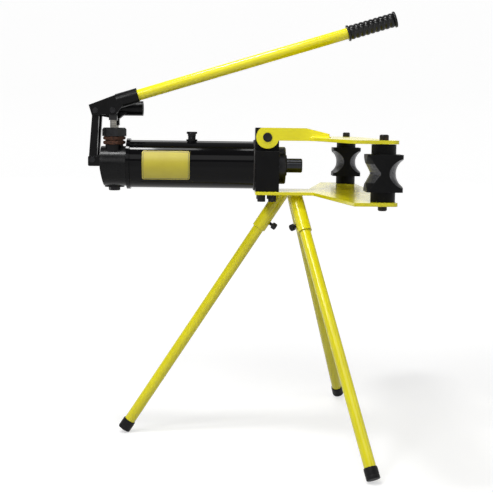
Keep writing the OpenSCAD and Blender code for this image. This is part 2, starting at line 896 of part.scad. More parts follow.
module far_link_pin() on_lever(1, far_slope) cheek_pin();

module plunger_pin(side, slope) {
    on_lever(side, slope) translate([plunger_pin_place.x, 0, plunger_pin_place.y]) cheek_pin();
}

module near_plunger_pin() plunger_pin(-1, near_slope);

module far_plunger_pin() plunger_pin(1, far_slope);

// A plunger rod whose flat eye head holds the lever's pin with play
module plunger(side, slope) {
    eye_z = plunger_z(slope);
    rod_length = plunger_length - plunger_neck;
    color("#c3c6ca") placed() translate([pump_x, side * pump_y, 0]) difference() {
        union() {
            translate([0, 0, eye_z - plunger_length]) cylinder(d = plunger_d, h = rod_length + overrun);
            translate([0, 0, eye_z]) upright(plunger_d) {
                circle(r = plunger_eye_r);
                translate([-plunger_neck_w / 2, -plunger_neck]) square([plunger_neck_w, plunger_neck]);
            }
        }
        translate([0, 0, eye_z]) cross_bar(pivot_d + 2 * plunger_eye_play, plunger_d + 2 * overrun);
    }
}

module near_plunger() plunger(-1, near_slope);

module far_plunger() plunger(1, far_slope);

module handle_tube() {
    color("#dccf28") on_lever(-1, near_slope) translate([handle_start + seat_gap, 0, socket_lift])
        rotate([0, 90, 0]) ring(handle_d, handle_d - 2 * handle_wall, tube_end - handle_start - seat_gap);
}

// A ribbed rubber sleeve, closed at its end, with a flange at each end
module handle_grip() {
    ribs_run = grip_length - 2 * grip_flange_t;
    pitch = ribs_run / (grip_ribs + 1);
    color("#161718") on_lever(-1, near_slope) translate([grip_start, 0, socket_lift]) rotate([0, 90, 0])
        difference() {
            union() {
                cylinder(d = grip_d, h = grip_length);
                for (z = [0, grip_length - grip_flange_t]) {
                    translate([0, 0, z]) cylinder(d = grip_flange_d, h = grip_flange_t);
                }
                for (i = [1 : grip_ribs]) {
                    translate([0, 0, grip_flange_t + i * pitch]) rotate_extrude() polygon([
                        [0, -grip_rib_t / 2], [grip_d / 2, -grip_rib_t / 2],
                        [grip_rib_d / 2, -grip_rib_t / 4], [grip_rib_d / 2, grip_rib_t / 4],
                        [grip_d / 2, grip_rib_t / 2], [0, grip_rib_t / 2]
                    ]);
                }
            }
            translate([0, 0, -overrun]) cylinder(d = handle_d, h = grip_length - grip_end_t + overrun);
        }
}

// Stand a child along a leg: its Z runs down the leg from the plate's underside
module on_leg(x, y, turn) {
    placed() translate([x, y, lower_under_z]) rotate([0, 0, turn]) rotate([0, 180 - leg_splay, 0]) children();
}

module at_rear_leg() on_leg(rear_leg_x, 0, 180) children();

module at_near_leg() on_leg(front_leg_x, -front_leg_y, -front_leg_angle) children();

module at_far_leg() on_leg(front_leg_x, front_leg_y, front_leg_angle) children();

// Put a child at the thumb screw, its Z pointing out of the socket, turned about the leg from its inner side
module at_thumb(angle) {
    translate([0, 0, thumb_along]) rotate([0, 0, angle]) rotate([0, 90, 0]) children();
}

// A socket tube, cut level where it meets the plate
module leg_socket(angle) {
    climb = leg_socket_d * tan(leg_splay);
    cut = 4 * leg_socket_d;
    difference() {
        translate([0, 0, -climb]) cylinder(d = leg_socket_d, h = climb + leg_socket_length);
        rotate([0, leg_splay - 180, 0]) translate([-cut / 2, -cut / 2, 0]) cube([cut, cut, cut]);
        translate([0, 0, -2 * climb])
            cylinder(d = leg_d + 4 * running_fit, h = 2 * climb + leg_socket_length + overrun);
        at_thumb(angle) cylinder(d = thumb_d + 2 * running_fit, h = leg_socket_d);
    }
}

module rear_leg_socket() color("#dccf28") at_rear_leg() leg_socket(0);

module near_leg_socket() color("#dccf28") at_near_leg() leg_socket(-front_thumb_angle);

module far_leg_socket() color("#dccf28") at_far_leg() leg_socket(-front_thumb_angle);

module leg_tube() {
    translate([0, 0, leg_top]) ring(leg_d, leg_d - 2 * leg_wall, leg_end - leg_top);
}

module rear_leg() color("#dccf28") at_rear_leg() leg_tube();

module near_leg() color("#dccf28") at_near_leg() leg_tube();

module far_leg() color("#dccf28") at_far_leg() leg_tube();

module foot_cap() {
    translate([0, 0, leg_total - foot_length]) difference() {
        cylinder(d = foot_d, h = foot_length);
        translate([0, 0, -overrun]) cylinder(d = leg_d, h = foot_length - foot_wall + overrun);
    }
}

module rear_foot() color("#1a1b1c") at_rear_leg() foot_cap();

module near_foot() color("#1a1b1c") at_near_leg() foot_cap();

module far_foot() color("#1a1b1c") at_far_leg() foot_cap();

// A clamping screw with a round head, its tip just clear of the leg tube
module thumb_screw(angle) {
    tip = leg_d / 2 + thumb_tip_gap;
    at_thumb(angle) {
        translate([0, 0, tip]) cylinder(d = thumb_d, h = leg_socket_d / 2 + thumb_stand - tip);
        translate([0, 0, leg_socket_d / 2 + thumb_stand])
            nosed_bar(thumb_head_d, thumb_head_t, thumb_head_t / 6);
    }
}

module rear_thumb_screw() color("#2a2b2d") at_rear_leg() thumb_screw(0);

module near_thumb_screw() color("#2a2b2d") at_near_leg() thumb_screw(-front_thumb_angle);

module far_thumb_screw() color("#2a2b2d") at_far_leg() thumb_screw(-front_thumb_angle);

reservoir_tube();
rear_cap();
pressure_cylinder();
pump_block();
link_bracket();
bracket_pin();
near_pump_fitting();
far_pump_fitting();
near_gland_nut();
far_gland_nut();
bottom_valve_plug();
filler_boss();
filler_plug();
release_valve();
head_block();
gland_ring();
rod_wiper();
ram_rod();
piston();
piston_seal();
return_spring();
hinge_pin();
lower_plate();
base_bolts();
upper_plate();
near_lug_arm();
far_lug_arm();
near_roller();
far_roller();
near_roller_pin();
far_roller_pin();
near_link();
far_link();
near_lever();
far_lever();
near_link_pin();
far_link_pin();
near_plunger_pin();
far_plunger_pin();
near_plunger();
far_plunger();
handle_tube();
handle_grip();
rear_leg_socket();
near_leg_socket();
far_leg_socket();
rear_leg();
near_leg();
far_leg();
rear_foot();
near_foot();
far_foot();
rear_thumb_screw();
near_thumb_screw();
far_thumb_screw();
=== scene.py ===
"""Hydraulic pipe bender on a three-legged stand: camera, light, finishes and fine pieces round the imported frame."""
import functools
import json
import math

import bpy
import numpy as np
from mathutils import Matrix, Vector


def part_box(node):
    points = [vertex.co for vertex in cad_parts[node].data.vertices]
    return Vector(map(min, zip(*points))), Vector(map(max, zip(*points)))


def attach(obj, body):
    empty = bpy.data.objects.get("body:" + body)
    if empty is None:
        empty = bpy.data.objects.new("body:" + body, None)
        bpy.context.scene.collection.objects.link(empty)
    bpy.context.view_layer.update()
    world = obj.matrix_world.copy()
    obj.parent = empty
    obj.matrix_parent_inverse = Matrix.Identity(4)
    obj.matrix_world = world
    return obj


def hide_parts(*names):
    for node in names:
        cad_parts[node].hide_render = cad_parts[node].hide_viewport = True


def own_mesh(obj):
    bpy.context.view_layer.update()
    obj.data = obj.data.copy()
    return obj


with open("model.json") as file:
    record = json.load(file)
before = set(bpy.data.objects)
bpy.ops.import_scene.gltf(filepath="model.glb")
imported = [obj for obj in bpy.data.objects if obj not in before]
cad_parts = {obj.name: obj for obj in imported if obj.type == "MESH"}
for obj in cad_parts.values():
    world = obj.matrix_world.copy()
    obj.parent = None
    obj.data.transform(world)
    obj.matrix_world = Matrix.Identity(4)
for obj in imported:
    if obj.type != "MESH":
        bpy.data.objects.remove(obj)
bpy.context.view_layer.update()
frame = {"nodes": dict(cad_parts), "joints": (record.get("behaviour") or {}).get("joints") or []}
nodes = frame["nodes"]
joints = {j["name"]: j for j in frame["joints"]}
scene = bpy.context.scene
scene.view_settings.view_transform = "Standard"
MM = 0.001

# Camera: fitted to the photograph

PHOTO_PX = 493
SENSOR_MM = 36


def look(place_mm, yaw, pitch, roll, focal_px):
    """Put the camera at a place, turned by yaw about the vertical, tipped down by pitch and rolled about its line of
    sight. The angles are in degrees and the focal length in pixels of the photograph."""
    yaw, pitch, roll = np.radians([yaw, pitch, roll])
    ahead = np.array([-np.sin(yaw) * np.cos(pitch), np.cos(yaw) * np.cos(pitch), -np.sin(pitch)])
    right = np.array([np.cos(yaw), np.sin(yaw), 0.0])
    up = np.cross(right, ahead)
    right, up = np.cos(roll) * right + np.sin(roll) * up, np.cos(roll) * up - np.sin(roll) * right
    data = bpy.data.cameras.new("camera")
    data.sensor_width = SENSOR_MM
    data.lens = focal_px / PHOTO_PX * SENSOR_MM
    made = bpy.data.objects.new("camera", data)
    stance = np.eye(4)
    stance[:3, :3] = np.stack([right, up, -ahead], axis=1)
    stance[:3, 3] = np.array(place_mm) * MM
    made.matrix_world = Matrix(stance.tolist())
    scene.collection.objects.link(made)
    scene.camera = made


look(place_mm=(-28.66, -2447.42, 703.96), yaw=-0.976, pitch=6.323, roll=0.73, focal_px=1086.72)

# Finishes

# Inputs of a range and of a colour mix, and the mix's output, by place, since some of their names occur twice
VALUE, LOW, HIGH, TO_LOW, TO_HIGH = range(5)
SHARE, FIRST, SECOND = 0, 6, 7
MIXED = 2


def linear(hex_code):
    """An sRGB hex value as linear red, green, blue and alpha."""
    c = np.array([int(hex_code[i:i + 2], 16) for i in (0, 2, 4)]) / 255
    return (*np.where(c <= 0.04045, c / 12.92, ((c + 0.055) / 1.055) ** 2.4), 1.0)


def wire(made, inputs):
    """Set each input of a node to a value, or link it to the socket that feeds it."""
    for key, value in inputs.items():
        if isinstance(value, bpy.types.NodeSocket):
            made.id_data.links.new(value, made.inputs[key])
        else:
            made.inputs[key].default_value = value


def add(tree, kind, inputs=None, out=0, **settings):
    """Add one node with its settings and inputs, and give the output asked for."""
    made = tree.nodes.new("ShaderNode" + kind)
    for key, value in settings.items():
        setattr(made, key, value)
    wire(made, inputs or {})
    return made.outputs[out]


def begin(name, constants):
    """A new finish: its material, its shader with the constants set, and a short call that adds nodes to it."""
    made = bpy.data.materials.new(name)
    made.use_nodes = True
    shader = made.node_tree.nodes["Principled BSDF"]
    wire(shader, constants)
    return made, shader, functools.partial(add, made.node_tree)


def per(size_mm):
    """The scale at which a pattern's patches are about this size."""
    return 1 / (size_mm * MM)


def worn_edges(node, radius_mm):
    """The normal with edges eased to a radius, and a share from 0 to 1 of how near a point lies to such an edge:
    the eased normal leaves the plain one there."""
    eased_normal = node("Bevel", {"Radius": radius_mm * MM}, samples=8)
    plain = node("NewGeometry", out="Normal")
    along = node("VectorMath", {0: eased_normal, 1: plain}, "Value", operation="DOT_PRODUCT")
    return eased_normal, node("MapRange", {VALUE: along, LOW: 0.985, HIGH: 0.86})


def sprayed_enamel(name, colour, pooled, primer, gloss, specular, peel_depth_mm):
    """Enamel sprayed on steel: a smooth, glossy and even coat, a little deeper where it pooled, with small chips to
    the primer along sharp edges. Its orange peel is about 1 mm, drawn at 3.5 mm so that the highlights waver."""
    made, shader, node = begin(name, {"Specular IOR Level": specular})
    place = node("TexCoord", out="Object")
    normal, edge = worn_edges(node, 1.0)
    pools = node("TexNoise", {"Vector": place, "Scale": per(90), "Detail": 3.0})
    pools = node("MapRange", {VALUE: pools, LOW: 0.36, HIGH: 0.68})
    coat = node("Mix", {SHARE: pools, FIRST: linear(colour), SECOND: linear(pooled)}, MIXED, data_type="RGBA")
    flakes = node("TexNoise", {"Vector": place, "Scale": per(6), "Detail": 5.0})
    flakes = node("MapRange", {VALUE: flakes, LOW: 0.64, HIGH: 0.69})
    chips = node("Math", {0: edge, 1: flakes}, operation="MULTIPLY")
    handling = node("TexNoise", {"Vector": place, "Scale": per(26), "Detail": 5.0})
    peel = node("TexNoise", {"Vector": place, "Scale": per(3.5), "Detail": 1.0})
    wire(shader, {
        "Base Color": node("Mix", {SHARE: chips, FIRST: coat, SECOND: linear(primer)}, MIXED, data_type="RGBA"),
        "Roughness": node("MapRange", {
            VALUE: handling, LOW: 0.3, HIGH: 0.7, TO_LOW: gloss * 0.85, TO_HIGH: gloss * 1.2}),
        "Normal": node("Bump", {"Height": peel, "Distance": peel_depth_mm * MM, "Normal": normal}),
    })
    return made


def painted_casting(name, colour, dusty, rubbed, gloss, specular, pit_mm, depth_mm):
    """Iron cast in sand, or a weld, painted black: a skin of shallow pits under the coat, dusty in places, with edges
    rubbed grey; a light rubbed colour there is also a painted edge highlight. Sand pits of under 1 mm are drawn at 3 to
    5 mm so that they show."""
    made, shader, node = begin(name, {"Specular IOR Level": specular})
    place = node("TexCoord", out="Object")
    normal, edge = worn_edges(node, 1.3)
    dust = node("TexNoise", {"Vector": place, "Scale": per(32), "Detail": 5.0})
    dusted = node("MapRange", {VALUE: dust, LOW: 0.38, HIGH: 0.7})
    coat = node("Mix", {SHARE: dusted, FIRST: linear(colour), SECOND: linear(dusty)}, MIXED, data_type="RGBA")
    # Edges rubbed grey: wear, and where the rubbed colour is light, a painted highlight along the edges as well
    rubs = node("TexNoise", {"Vector": place, "Scale": per(9), "Detail": 4.0})
    rubs = node("MapRange", {VALUE: rubs, LOW: 0.46, HIGH: 0.72})
    worn = node("Math", {0: edge, 1: rubs}, operation="MULTIPLY")
    pits = node("TexNoise", {"Vector": place, "Scale": per(pit_mm), "Detail": 6.0, "Roughness": 0.62})
    wire(shader, {
        "Base Color": node("Mix", {SHARE: worn, FIRST: coat, SECOND: linear(rubbed)}, MIXED, data_type="RGBA"),
        "Roughness": node("MapRange", {
            VALUE: dust, LOW: 0.3, HIGH: 0.7, TO_LOW: gloss * 0.8, TO_HIGH: gloss * 1.25}),
        "Normal": node("Bump", {"Height": pits, "Distance": depth_mm * MM, "Normal": normal}),
    })
    return made


def grooved_casting(name, centre, half_mm, corner_mm, front_mm, rear_mm, collar_mm):
    """A pivot block of cast iron, painted matt black outside, its two grooves rubbed to bare grey metal with fine tool
    marks. A point is bare if it lies inside the block's rounded square but outside the collars, and no further from
    the middle height than pipes rub in the front or the rear groove. The tool marks of about 0.3 mm are drawn at
    2.5 mm, and the sand pits of under 1 mm at 2.4 mm, so that they show."""
    made, shader, node = begin(name, {"Specular IOR Level": 0.11})
    place = node("TexCoord", out="Object")
    normal, edge = worn_edges(node, 1.2)
    local = node("VectorMath", {0: place, 1: tuple(centre)}, operation="SUBTRACT")
    aside = node("SeparateXYZ", {0: node("VectorMath", {0: local}, operation="ABSOLUTE")}).node.outputs
    flat = node("CombineXYZ", {0: aside["X"], 1: aside["Y"]})
    spread = node("VectorMath", {0: flat}, "Value", operation="LENGTH")
    off_collar = node("MapRange", {VALUE: spread, LOW: (collar_mm + 0.5) * MM, HIGH: (collar_mm + 0.9) * MM})
    core = (half_mm - corner_mm) * MM
    past = node("VectorMath", {0: flat, 1: (core, core, 0.0)}, operation="SUBTRACT")
    past = node("VectorMath", {0: past, 1: (0.0, 0.0, 0.0)}, operation="MAXIMUM")
    past = node("VectorMath", {0: past}, "Value", operation="LENGTH")
    inside = node("MapRange", {
        VALUE: past, LOW: (corner_mm - 0.7) * MM, HIGH: (corner_mm - 0.4) * MM, TO_LOW: 1.0, TO_HIGH: 0.0})
    ahead = node("SeparateXYZ", {0: local}, "X")
    reach = node("MapRange", {VALUE: ahead, LOW: -MM, HIGH: MM, TO_LOW: rear_mm * MM, TO_HIGH: front_mm * MM})
    spare = node("Math", {0: reach, 1: aside["Z"]}, operation="SUBTRACT")
    within = node("MapRange", {VALUE: spare, LOW: 0.0, HIGH: 2.0 * MM})
    rubbed = node("Math", {0: inside, 1: within}, operation="MULTIPLY")
    bare = node("Math", {0: off_collar, 1: rubbed}, operation="MULTIPLY")
    dust = node("TexNoise", {"Vector": place, "Scale": per(24), "Detail": 5.0})
    dust = node("MapRange", {VALUE: dust, LOW: 0.38, HIGH: 0.7})
    paint = node("Mix", {SHARE: dust, FIRST: linear("070708"), SECOND: linear("0c0c0d")}, MIXED, data_type="RGBA")
    faint = node("Math", {0: edge, 1: 0.3}, operation="MULTIPLY")
    paint = node("Mix", {SHARE: faint, FIRST: paint, SECOND: linear("4a4b4e")}, MIXED, data_type="RGBA")
    drawn = node("Mapping", {"Vector": place, "Scale": (1.0, 0.1, 1.0)})
    marks = node("TexNoise", {"Vector": drawn, "Scale": per(2.5), "Detail": 3.0})
    marks = node("MapRange", {VALUE: marks, LOW: 0.3, HIGH: 0.7})
    metal = node("Mix", {SHARE: marks, FIRST: linear("3c3c3e"), SECOND: linear("5e5e60")}, MIXED, data_type="RGBA")
    pits = node("TexNoise", {"Vector": place, "Scale": per(2.4), "Detail": 6.0, "Roughness": 0.62})
    wire(shader, {
        "Base Color": node("Mix", {SHARE: bare, FIRST: paint, SECOND: metal}, MIXED, data_type="RGBA"),
        "Metallic": node("Math", {0: bare, 1: 0.7}, operation="MULTIPLY"),
        "Roughness": node("MapRange", {VALUE: bare, TO_LOW: 0.46, TO_HIGH: 0.32}),
        "Normal": node("Bump", {"Height": pits, "Distance": 0.12 * MM, "Normal": normal}),
    })
    return made


def blackened_steel(name, colour, oiled, gloss, rust):
    """Turned steel with a black oxide skin: nearly black metal with a dull sheen, edges rubbed to grey, and brown
    where the oil has gone. Rust counts up from 0, which leaves a trace. The tool marks of about 0.2 mm are drawn at
    1.6 mm so that they show."""
    made, shader, node = begin(name, {"Metallic": 0.75})
    place = node("TexCoord", out="Object")
    normal, edge = worn_edges(node, 0.6)
    film = node("TexNoise", {"Vector": place, "Scale": per(12), "Detail": 5.0})
    filmed = node("MapRange", {VALUE: film, LOW: 0.35, HIGH: 0.7})
    tone = node("Mix", {SHARE: filmed, FIRST: linear(colour), SECOND: linear(oiled)}, MIXED, data_type="RGBA")
    rubs = node("TexNoise", {"Vector": place, "Scale": per(6), "Detail": 4.0})
    rubs = node("MapRange", {VALUE: rubs, LOW: 0.42, HIGH: 0.7})
    worn = node("Math", {0: edge, 1: rubs}, operation="MULTIPLY")
    tone = node("Mix", {SHARE: worn, FIRST: tone, SECOND: linear("56575a")}, MIXED, data_type="RGBA")
    bloom = node("TexNoise", {"Vector": place, "Scale": per(9), "Detail": 6.0, "Roughness": 0.7})
    rusted = node("MapRange", {VALUE: bloom, LOW: 0.62 - rust, HIGH: 0.76 - rust})
    marks = node("TexNoise", {"Vector": place, "Scale": per(1.6), "Detail": 4.0})
    wire(shader, {
        "Base Color": node("Mix", {SHARE: rusted, FIRST: tone, SECOND: linear("3d2c1d")}, MIXED, data_type="RGBA"),
        "Roughness": node("MapRange", {
            VALUE: film, LOW: 0.3, HIGH: 0.7, TO_LOW: gloss * 0.8, TO_HIGH: gloss * 1.3}),
        "Normal": node("Bump", {"Height": marks, "Distance": 0.04 * MM, "Normal": normal}),
    })
    return made


def ground_steel(name, colour, bright, gloss, stretch, black_above_mm=None):
    """A ground steel rod: bright metal with fine rings left by the wheel, real ones 0.1 mm apart and drawn at 1.5 mm
    so that they show, with a film of old oil. Above a height, where one is given, its head is painted black."""
    made, shader, node = begin(name, {"Metallic": 1.0})
    place = node("TexCoord", out="Object")
    normal = node("Bevel", {"Radius": 0.5 * MM}, samples=8)
    drawn = node("Mapping", {"Vector": place, "Scale": stretch})
    rings = node("TexNoise", {"Vector": drawn, "Scale": per(1.5), "Detail": 2.0})
    ringed = node("MapRange", {VALUE: rings, LOW: 0.3, HIGH: 0.7})
    tone = node("Mix", {SHARE: ringed, FIRST: linear(colour), SECOND: linear(bright)}, MIXED, data_type="RGBA")
    oil = node("TexNoise", {"Vector": place, "Scale": per(16), "Detail": 6.0, "Roughness": 0.7})
    oil = node("MapRange", {VALUE: oil, LOW: 0.58, HIGH: 0.78})
    tone = node("Mix", {SHARE: oil, FIRST: tone, SECOND: linear("4d4338")}, MIXED, data_type="RGBA")
    if black_above_mm is not None:
        height = node("SeparateXYZ", {0: place}, "Z")
        head = node("MapRange", {VALUE: height, LOW: black_above_mm * MM, HIGH: (black_above_mm + 0.6) * MM})
        tone = node("Mix", {SHARE: head, FIRST: tone, SECOND: linear("0b0b0c")}, MIXED, data_type="RGBA")
        wire(shader, {"Metallic": node("MapRange", {VALUE: head, TO_LOW: 1.0, TO_HIGH: 0.3})})
    wire(shader, {
        "Base Color": tone,
        "Roughness": node("MapRange", {
            VALUE: rings, LOW: 0.3, HIGH: 0.7, TO_LOW: gloss * 0.75, TO_HIGH: gloss * 1.3}),
        "Normal": node("Bump", {"Height": rings, "Distance": 0.02 * MM, "Normal": normal}),
    })
    return made


def rusted_iron(name):
    """Bare iron that has rusted in store: dull red brown and dark brown crusts, rough, with no gloss, lighter at
    edges."""
    made, shader, node = begin(name, {"Specular IOR Level": 0.2})
    place = node("TexCoord", out="Object")
    normal, edge = worn_edges(node, 0.9)
    crust = node("TexNoise", {"Vector": place, "Scale": per(6), "Detail": 7.0, "Roughness": 0.68})
    crusted = node("MapRange", {VALUE: crust, LOW: 0.35, HIGH: 0.66})
    tone = node("Mix", {SHARE: crusted, FIRST: linear("2a1a14"), SECOND: linear("5a3a2a")}, MIXED, data_type="RGBA")
    pale = node("Math", {0: edge, 1: 0.5}, operation="MULTIPLY")
    wire(shader, {
        "Base Color": node("Mix", {SHARE: pale, FIRST: tone, SECOND: linear("7d5a48")}, MIXED, data_type="RGBA"),
        "Roughness": node("MapRange", {VALUE: crust, LOW: 0.3, HIGH: 0.7, TO_LOW: 0.6, TO_HIGH: 0.85}),
        "Normal": node("Bump", {"Height": crust, "Distance": 0.3 * MM, "Normal": normal}),
    })
    return made


def moulded_rubber(name, colour, bloomed, gloss, specular):
    """Moulded rubber: soft black with a fine mould grain, drawn at 1.8 mm so that it shows, and a bloom that greys it
    in patches."""
    made, shader, node = begin(name, {"Specular IOR Level": specular})
    place = node("TexCoord", out="Object")
    normal = node("Bevel", {"Radius": 0.7 * MM}, samples=8)
    bloom = node("TexNoise", {"Vector": place, "Scale": per(24), "Detail": 5.0})
    greyed = node("MapRange", {VALUE: bloom, LOW: 0.4, HIGH: 0.75})
    mould = node("TexNoise", {"Vector": place, "Scale": per(1.8), "Detail": 3.0})
    wire(shader, {
        "Base Color": node("Mix", {SHARE: greyed, FIRST: linear(colour), SECOND: linear(bloomed)}, MIXED,
                           data_type="RGBA"),
        "Roughness": node("MapRange", {
            VALUE: bloom, LOW: 0.3, HIGH: 0.7, TO_LOW: gloss * 0.85, TO_HIGH: gloss * 1.2}),
        "Normal": node("Bump", {"Height": mould, "Distance": 0.04 * MM, "Normal": normal}),
    })
    return made


def printed_vinyl(name, rule_from_mm, rule_to_mm, soft_mm):
    """A vinyl label printed in one flat yellow, with a thin dark rule along its edge and nothing else on it. The
    piece's own inset attribute, in millimetres from its edge, places the rule, whose sides are a little soft."""
    made, shader, node = begin(name, {"Specular IOR Level": 0.8})
    place = node("TexCoord", out="Object")
    inset = node("Attribute", out="Fac", attribute_name="inset")
    past_start = node("MapRange", {VALUE: inset, LOW: rule_from_mm, HIGH: rule_from_mm + soft_mm})
    before_end = node("MapRange", {
        VALUE: inset, LOW: rule_to_mm - soft_mm, HIGH: rule_to_mm, TO_LOW: 1.0, TO_HIGH: 0.0})
    rule = node("Math", {0: past_start, 1: before_end}, operation="MULTIPLY")
    fade = node("TexNoise", {"Vector": place, "Scale": per(40), "Detail": 4.0})
    faded = node("MapRange", {VALUE: fade, LOW: 0.35, HIGH: 0.7})
    tone = node("Mix", {SHARE: faded, FIRST: linear("bdb024"), SECOND: linear("b3a31e")}, MIXED, data_type="RGBA")
    ripple = node("TexNoise", {"Vector": place, "Scale": per(14), "Detail": 2.0})
    wire(shader, {
        "Base Color": node("Mix", {SHARE: rule, FIRST: tone, SECOND: linear("1d1c16")}, MIXED, data_type="RGBA"),
        "Roughness": node("MapRange", {VALUE: fade, LOW: 0.3, HIGH: 0.7, TO_LOW: 0.38, TO_HIGH: 0.46}),
        "Normal": node("Bump", {"Height": ripple, "Distance": 0.04 * MM}),
    })
    return made


yellow = sprayed_enamel("yellow_enamel", colour="eae012", pooled="e0d50e", primer="8f8a2a",
                        gloss=0.16, specular=0.5, peel_depth_mm=0.005)
gloss_black = sprayed_enamel("gloss_black_enamel", colour="050506", pooled="08080a", primer="2e2e30",
                             gloss=0.07, specular=0.12, peel_depth_mm=0.004)
pump_black = painted_casting("black_painted_pump_casting", colour="0a0a0b", dusty="101011", rubbed="3c3d40",
                             gloss=0.26, specular=0.13, pit_mm=4.0, depth_mm=0.008)
# The head block's rubbed colour is light: worn edges plus a painted highlight along the shoulder's edge
block_black = painted_casting("black_painted_block_casting", colour="070708", dusty="0d0d0e", rubbed="5c5d62",
                              gloss=0.42, specular=0.1, pit_mm=3.0, depth_mm=0.12)
weld_black = painted_casting("thinly_painted_weld", colour="1c1a19", dusty="2c2826", rubbed="4a4644",
                             gloss=0.4, specular=0.3, pit_mm=3.0, depth_mm=0.05)
lever_black = painted_casting("black_painted_lever_casting", colour="070708", dusty="0c0c0d", rubbed="333437",
                              gloss=0.27, specular=0.12, pit_mm=5.0, depth_mm=0.08)
black_steel = blackened_steel("black_oxide_steel", colour="19191b", oiled="262628", gloss=0.36, rust=0.0)
pin_steel = blackened_steel("black_oxide_pin", colour="1c1b1a", oiled="2a2724", gloss=0.42, rust=0.08)
# A rod's rings are stretched round it: the noise is drawn out in the two directions square to the rod
ROUND_X, ROUND_Z = (1.0, 0.02, 0.02), (0.02, 0.02, 1.0)
# The ram's steel is given near black colours: a painted dark reflection in place of bright steel mirroring dark
# surroundings
ram_steel = ground_steel("oiled_ram_with_painted_dark_reflection", colour="262729", bright="38393c", gloss=0.2, stretch=ROUND_X)
cylinder_steel = ground_steel("honed_cylinder_steel", colour="86847f", bright="aaa8a2", gloss=0.26, stretch=ROUND_X)
plunger_steel = {
    side: ground_steel(f"{side}_ground_plunger", colour="6a6864", bright="94918b", gloss=0.27, stretch=ROUND_Z,
                       black_above_mm=head_mm)
    for side, head_mm in (("near", 713.2), ("far", 702.2))
}
rusty = rusted_iron("rusted_iron_fitting")
foot_rubber = moulded_rubber("black_foot_rubber", colour="0a0a0b", bloomed="121213", gloss=0.5, specular=0.2)
grip_rubber = moulded_rubber("glossy_grip_rubber", colour="09090a", bloomed="0f0f10", gloss=0.24, specular=0.28)
label_vinyl = printed_vinyl("plain_label_vinyl", rule_from_mm=2.0, rule_to_mm=3.25, soft_mm=0.15)
roller_iron = {
    side: grooved_casting(f"{side}_grooved_casting", np.mean(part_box(f"{side}_roller"), axis=0),
                          half_mm=35.0, corner_mm=10.0, front_mm=33.0, rear_mm=rear_mm, collar_mm=24.0)
    for side, rear_mm in (("near", 19.0), ("far", 33.0))
}

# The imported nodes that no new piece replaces, by finish
nodes_by_finish = [
    (gloss_black, ["reservoir_tube", "rear_cap", "filler_boss"]),
    (pump_black, ["pump_block"]),
    (block_black, ["head_block"]),
    (lever_black, ["link_bracket", "near_link", "far_link", "near_lever", "far_lever"]),
    (black_steel, ["gland_ring", "near_gland_nut", "far_gland_nut", "bottom_valve_plug", "release_valve", "hinge_pin",
                   "bracket_pin", "near_link_pin", "far_link_pin", "near_plunger_pin", "far_plunger_pin"]),
    (pin_steel, ["near_roller_pin", "far_roller_pin"]),
    (yellow, ["lower_plate", "upper_plate", "near_lug_arm", "far_lug_arm", "handle_tube", "rear_leg_socket",
              "near_leg_socket", "far_leg_socket", "rear_leg", "near_leg", "far_leg"]),
    (rusty, ["near_pump_fitting", "far_pump_fitting"]),
    (ram_steel, ["ram_rod"]),
    (cylinder_steel, ["piston", "pressure_cylinder"]),
    (plunger_steel["near"], ["near_plunger"]),
    (plunger_steel["far"], ["far_plunger"]),
    (foot_rubber, ["rod_wiper", "piston_seal"]),
    (roller_iron["near"], ["near_roller"]),
    (roller_iron["far"], ["far_roller"]),
]
for finish, names in nodes_by_finish:
    for name in names:
        nodes[name].data.materials.clear()
        nodes[name].data.materials.append(finish)

# New pieces


def axis_point(joint):
    """A joint's place, in metres."""
    return np.array(joints[joint]["pos_m"])


def skin(name, grid, finish, body, closed_rows=False, crease=38, inset=None):
    """A mesh over a grid of points, rows along the piece and columns round it. The last column joins the first;
    the last row joins the first in a closed ring, and otherwise both ends get a flat cap. Edges that turn by more than
    the crease, in degrees, stay sharp, and an inset for each point becomes the mesh's inset attribute."""
    rows, cols = grid.shape[:2]
    index = np.arange(rows * cols).reshape(rows, cols)
    ends = [] if closed_rows else [index[0, ::-1].tolist(), index[-1].tolist()]
    if closed_rows:
        index = np.vstack([index, index[:1]])
    index = np.hstack([index, index[:, :1]])
    quads = np.stack([index[:-1, :-1], index[:-1, 1:], index[1:, 1:], index[1:, :-1]], axis=-1).reshape(-1, 4)
    mesh = bpy.data.meshes.new(name)
    mesh.from_pydata(grid.reshape(-1, 3), [], quads.tolist() + ends)
    mesh.update()
    mesh.shade_smooth()
    mesh.set_sharp_from_angle(angle=math.radians(crease))
    if inset is not None:
        layer = mesh.attributes.new("inset", "FLOAT", "POINT")
        layer.data.foreach_set("value", inset.astype(np.float32).ravel())
    mesh.materials.append(finish)
    made = bpy.data.objects.new(name, mesh)
    scene.collection.objects.link(made)
    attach(made, body)
    return made


def basis(axis):
    """Two directions square to an axis, and the axis itself, right-handed."""
    axis = np.array(axis, float) / np.linalg.norm(axis)
    side = np.cross((0.0, 1.0, 0.0) if abs(axis[1]) < 0.9 else (1.0, 0.0, 0.0), axis)
    side /= np.linalg.norm(side)
    return side, np.cross(axis, side), axis


def turned(origin, axis, profile, sides=48, shape=None):
    """Points of a piece turned about an axis: each profile row is (distance along, radius) in millimetres, and a shape
    gives a factor on the radius from (angle, distance, radius), for knurls, threads and flats."""
    along, radius = np.array(profile, float).T
    angle = np.linspace(0, 2 * np.pi, sides, endpoint=False)
    reach = np.repeat(radius[:, None], sides, axis=1)
    if shape is not None:
        reach = reach * shape(angle[None, :], along[:, None], reach)
    one, two, three = basis(axis)
    ring = reach[..., None] * (np.cos(angle)[None, :, None] * one + np.sin(angle)[None, :, None] * two)
    return origin + MM * (ring + along[:, None, None] * three)


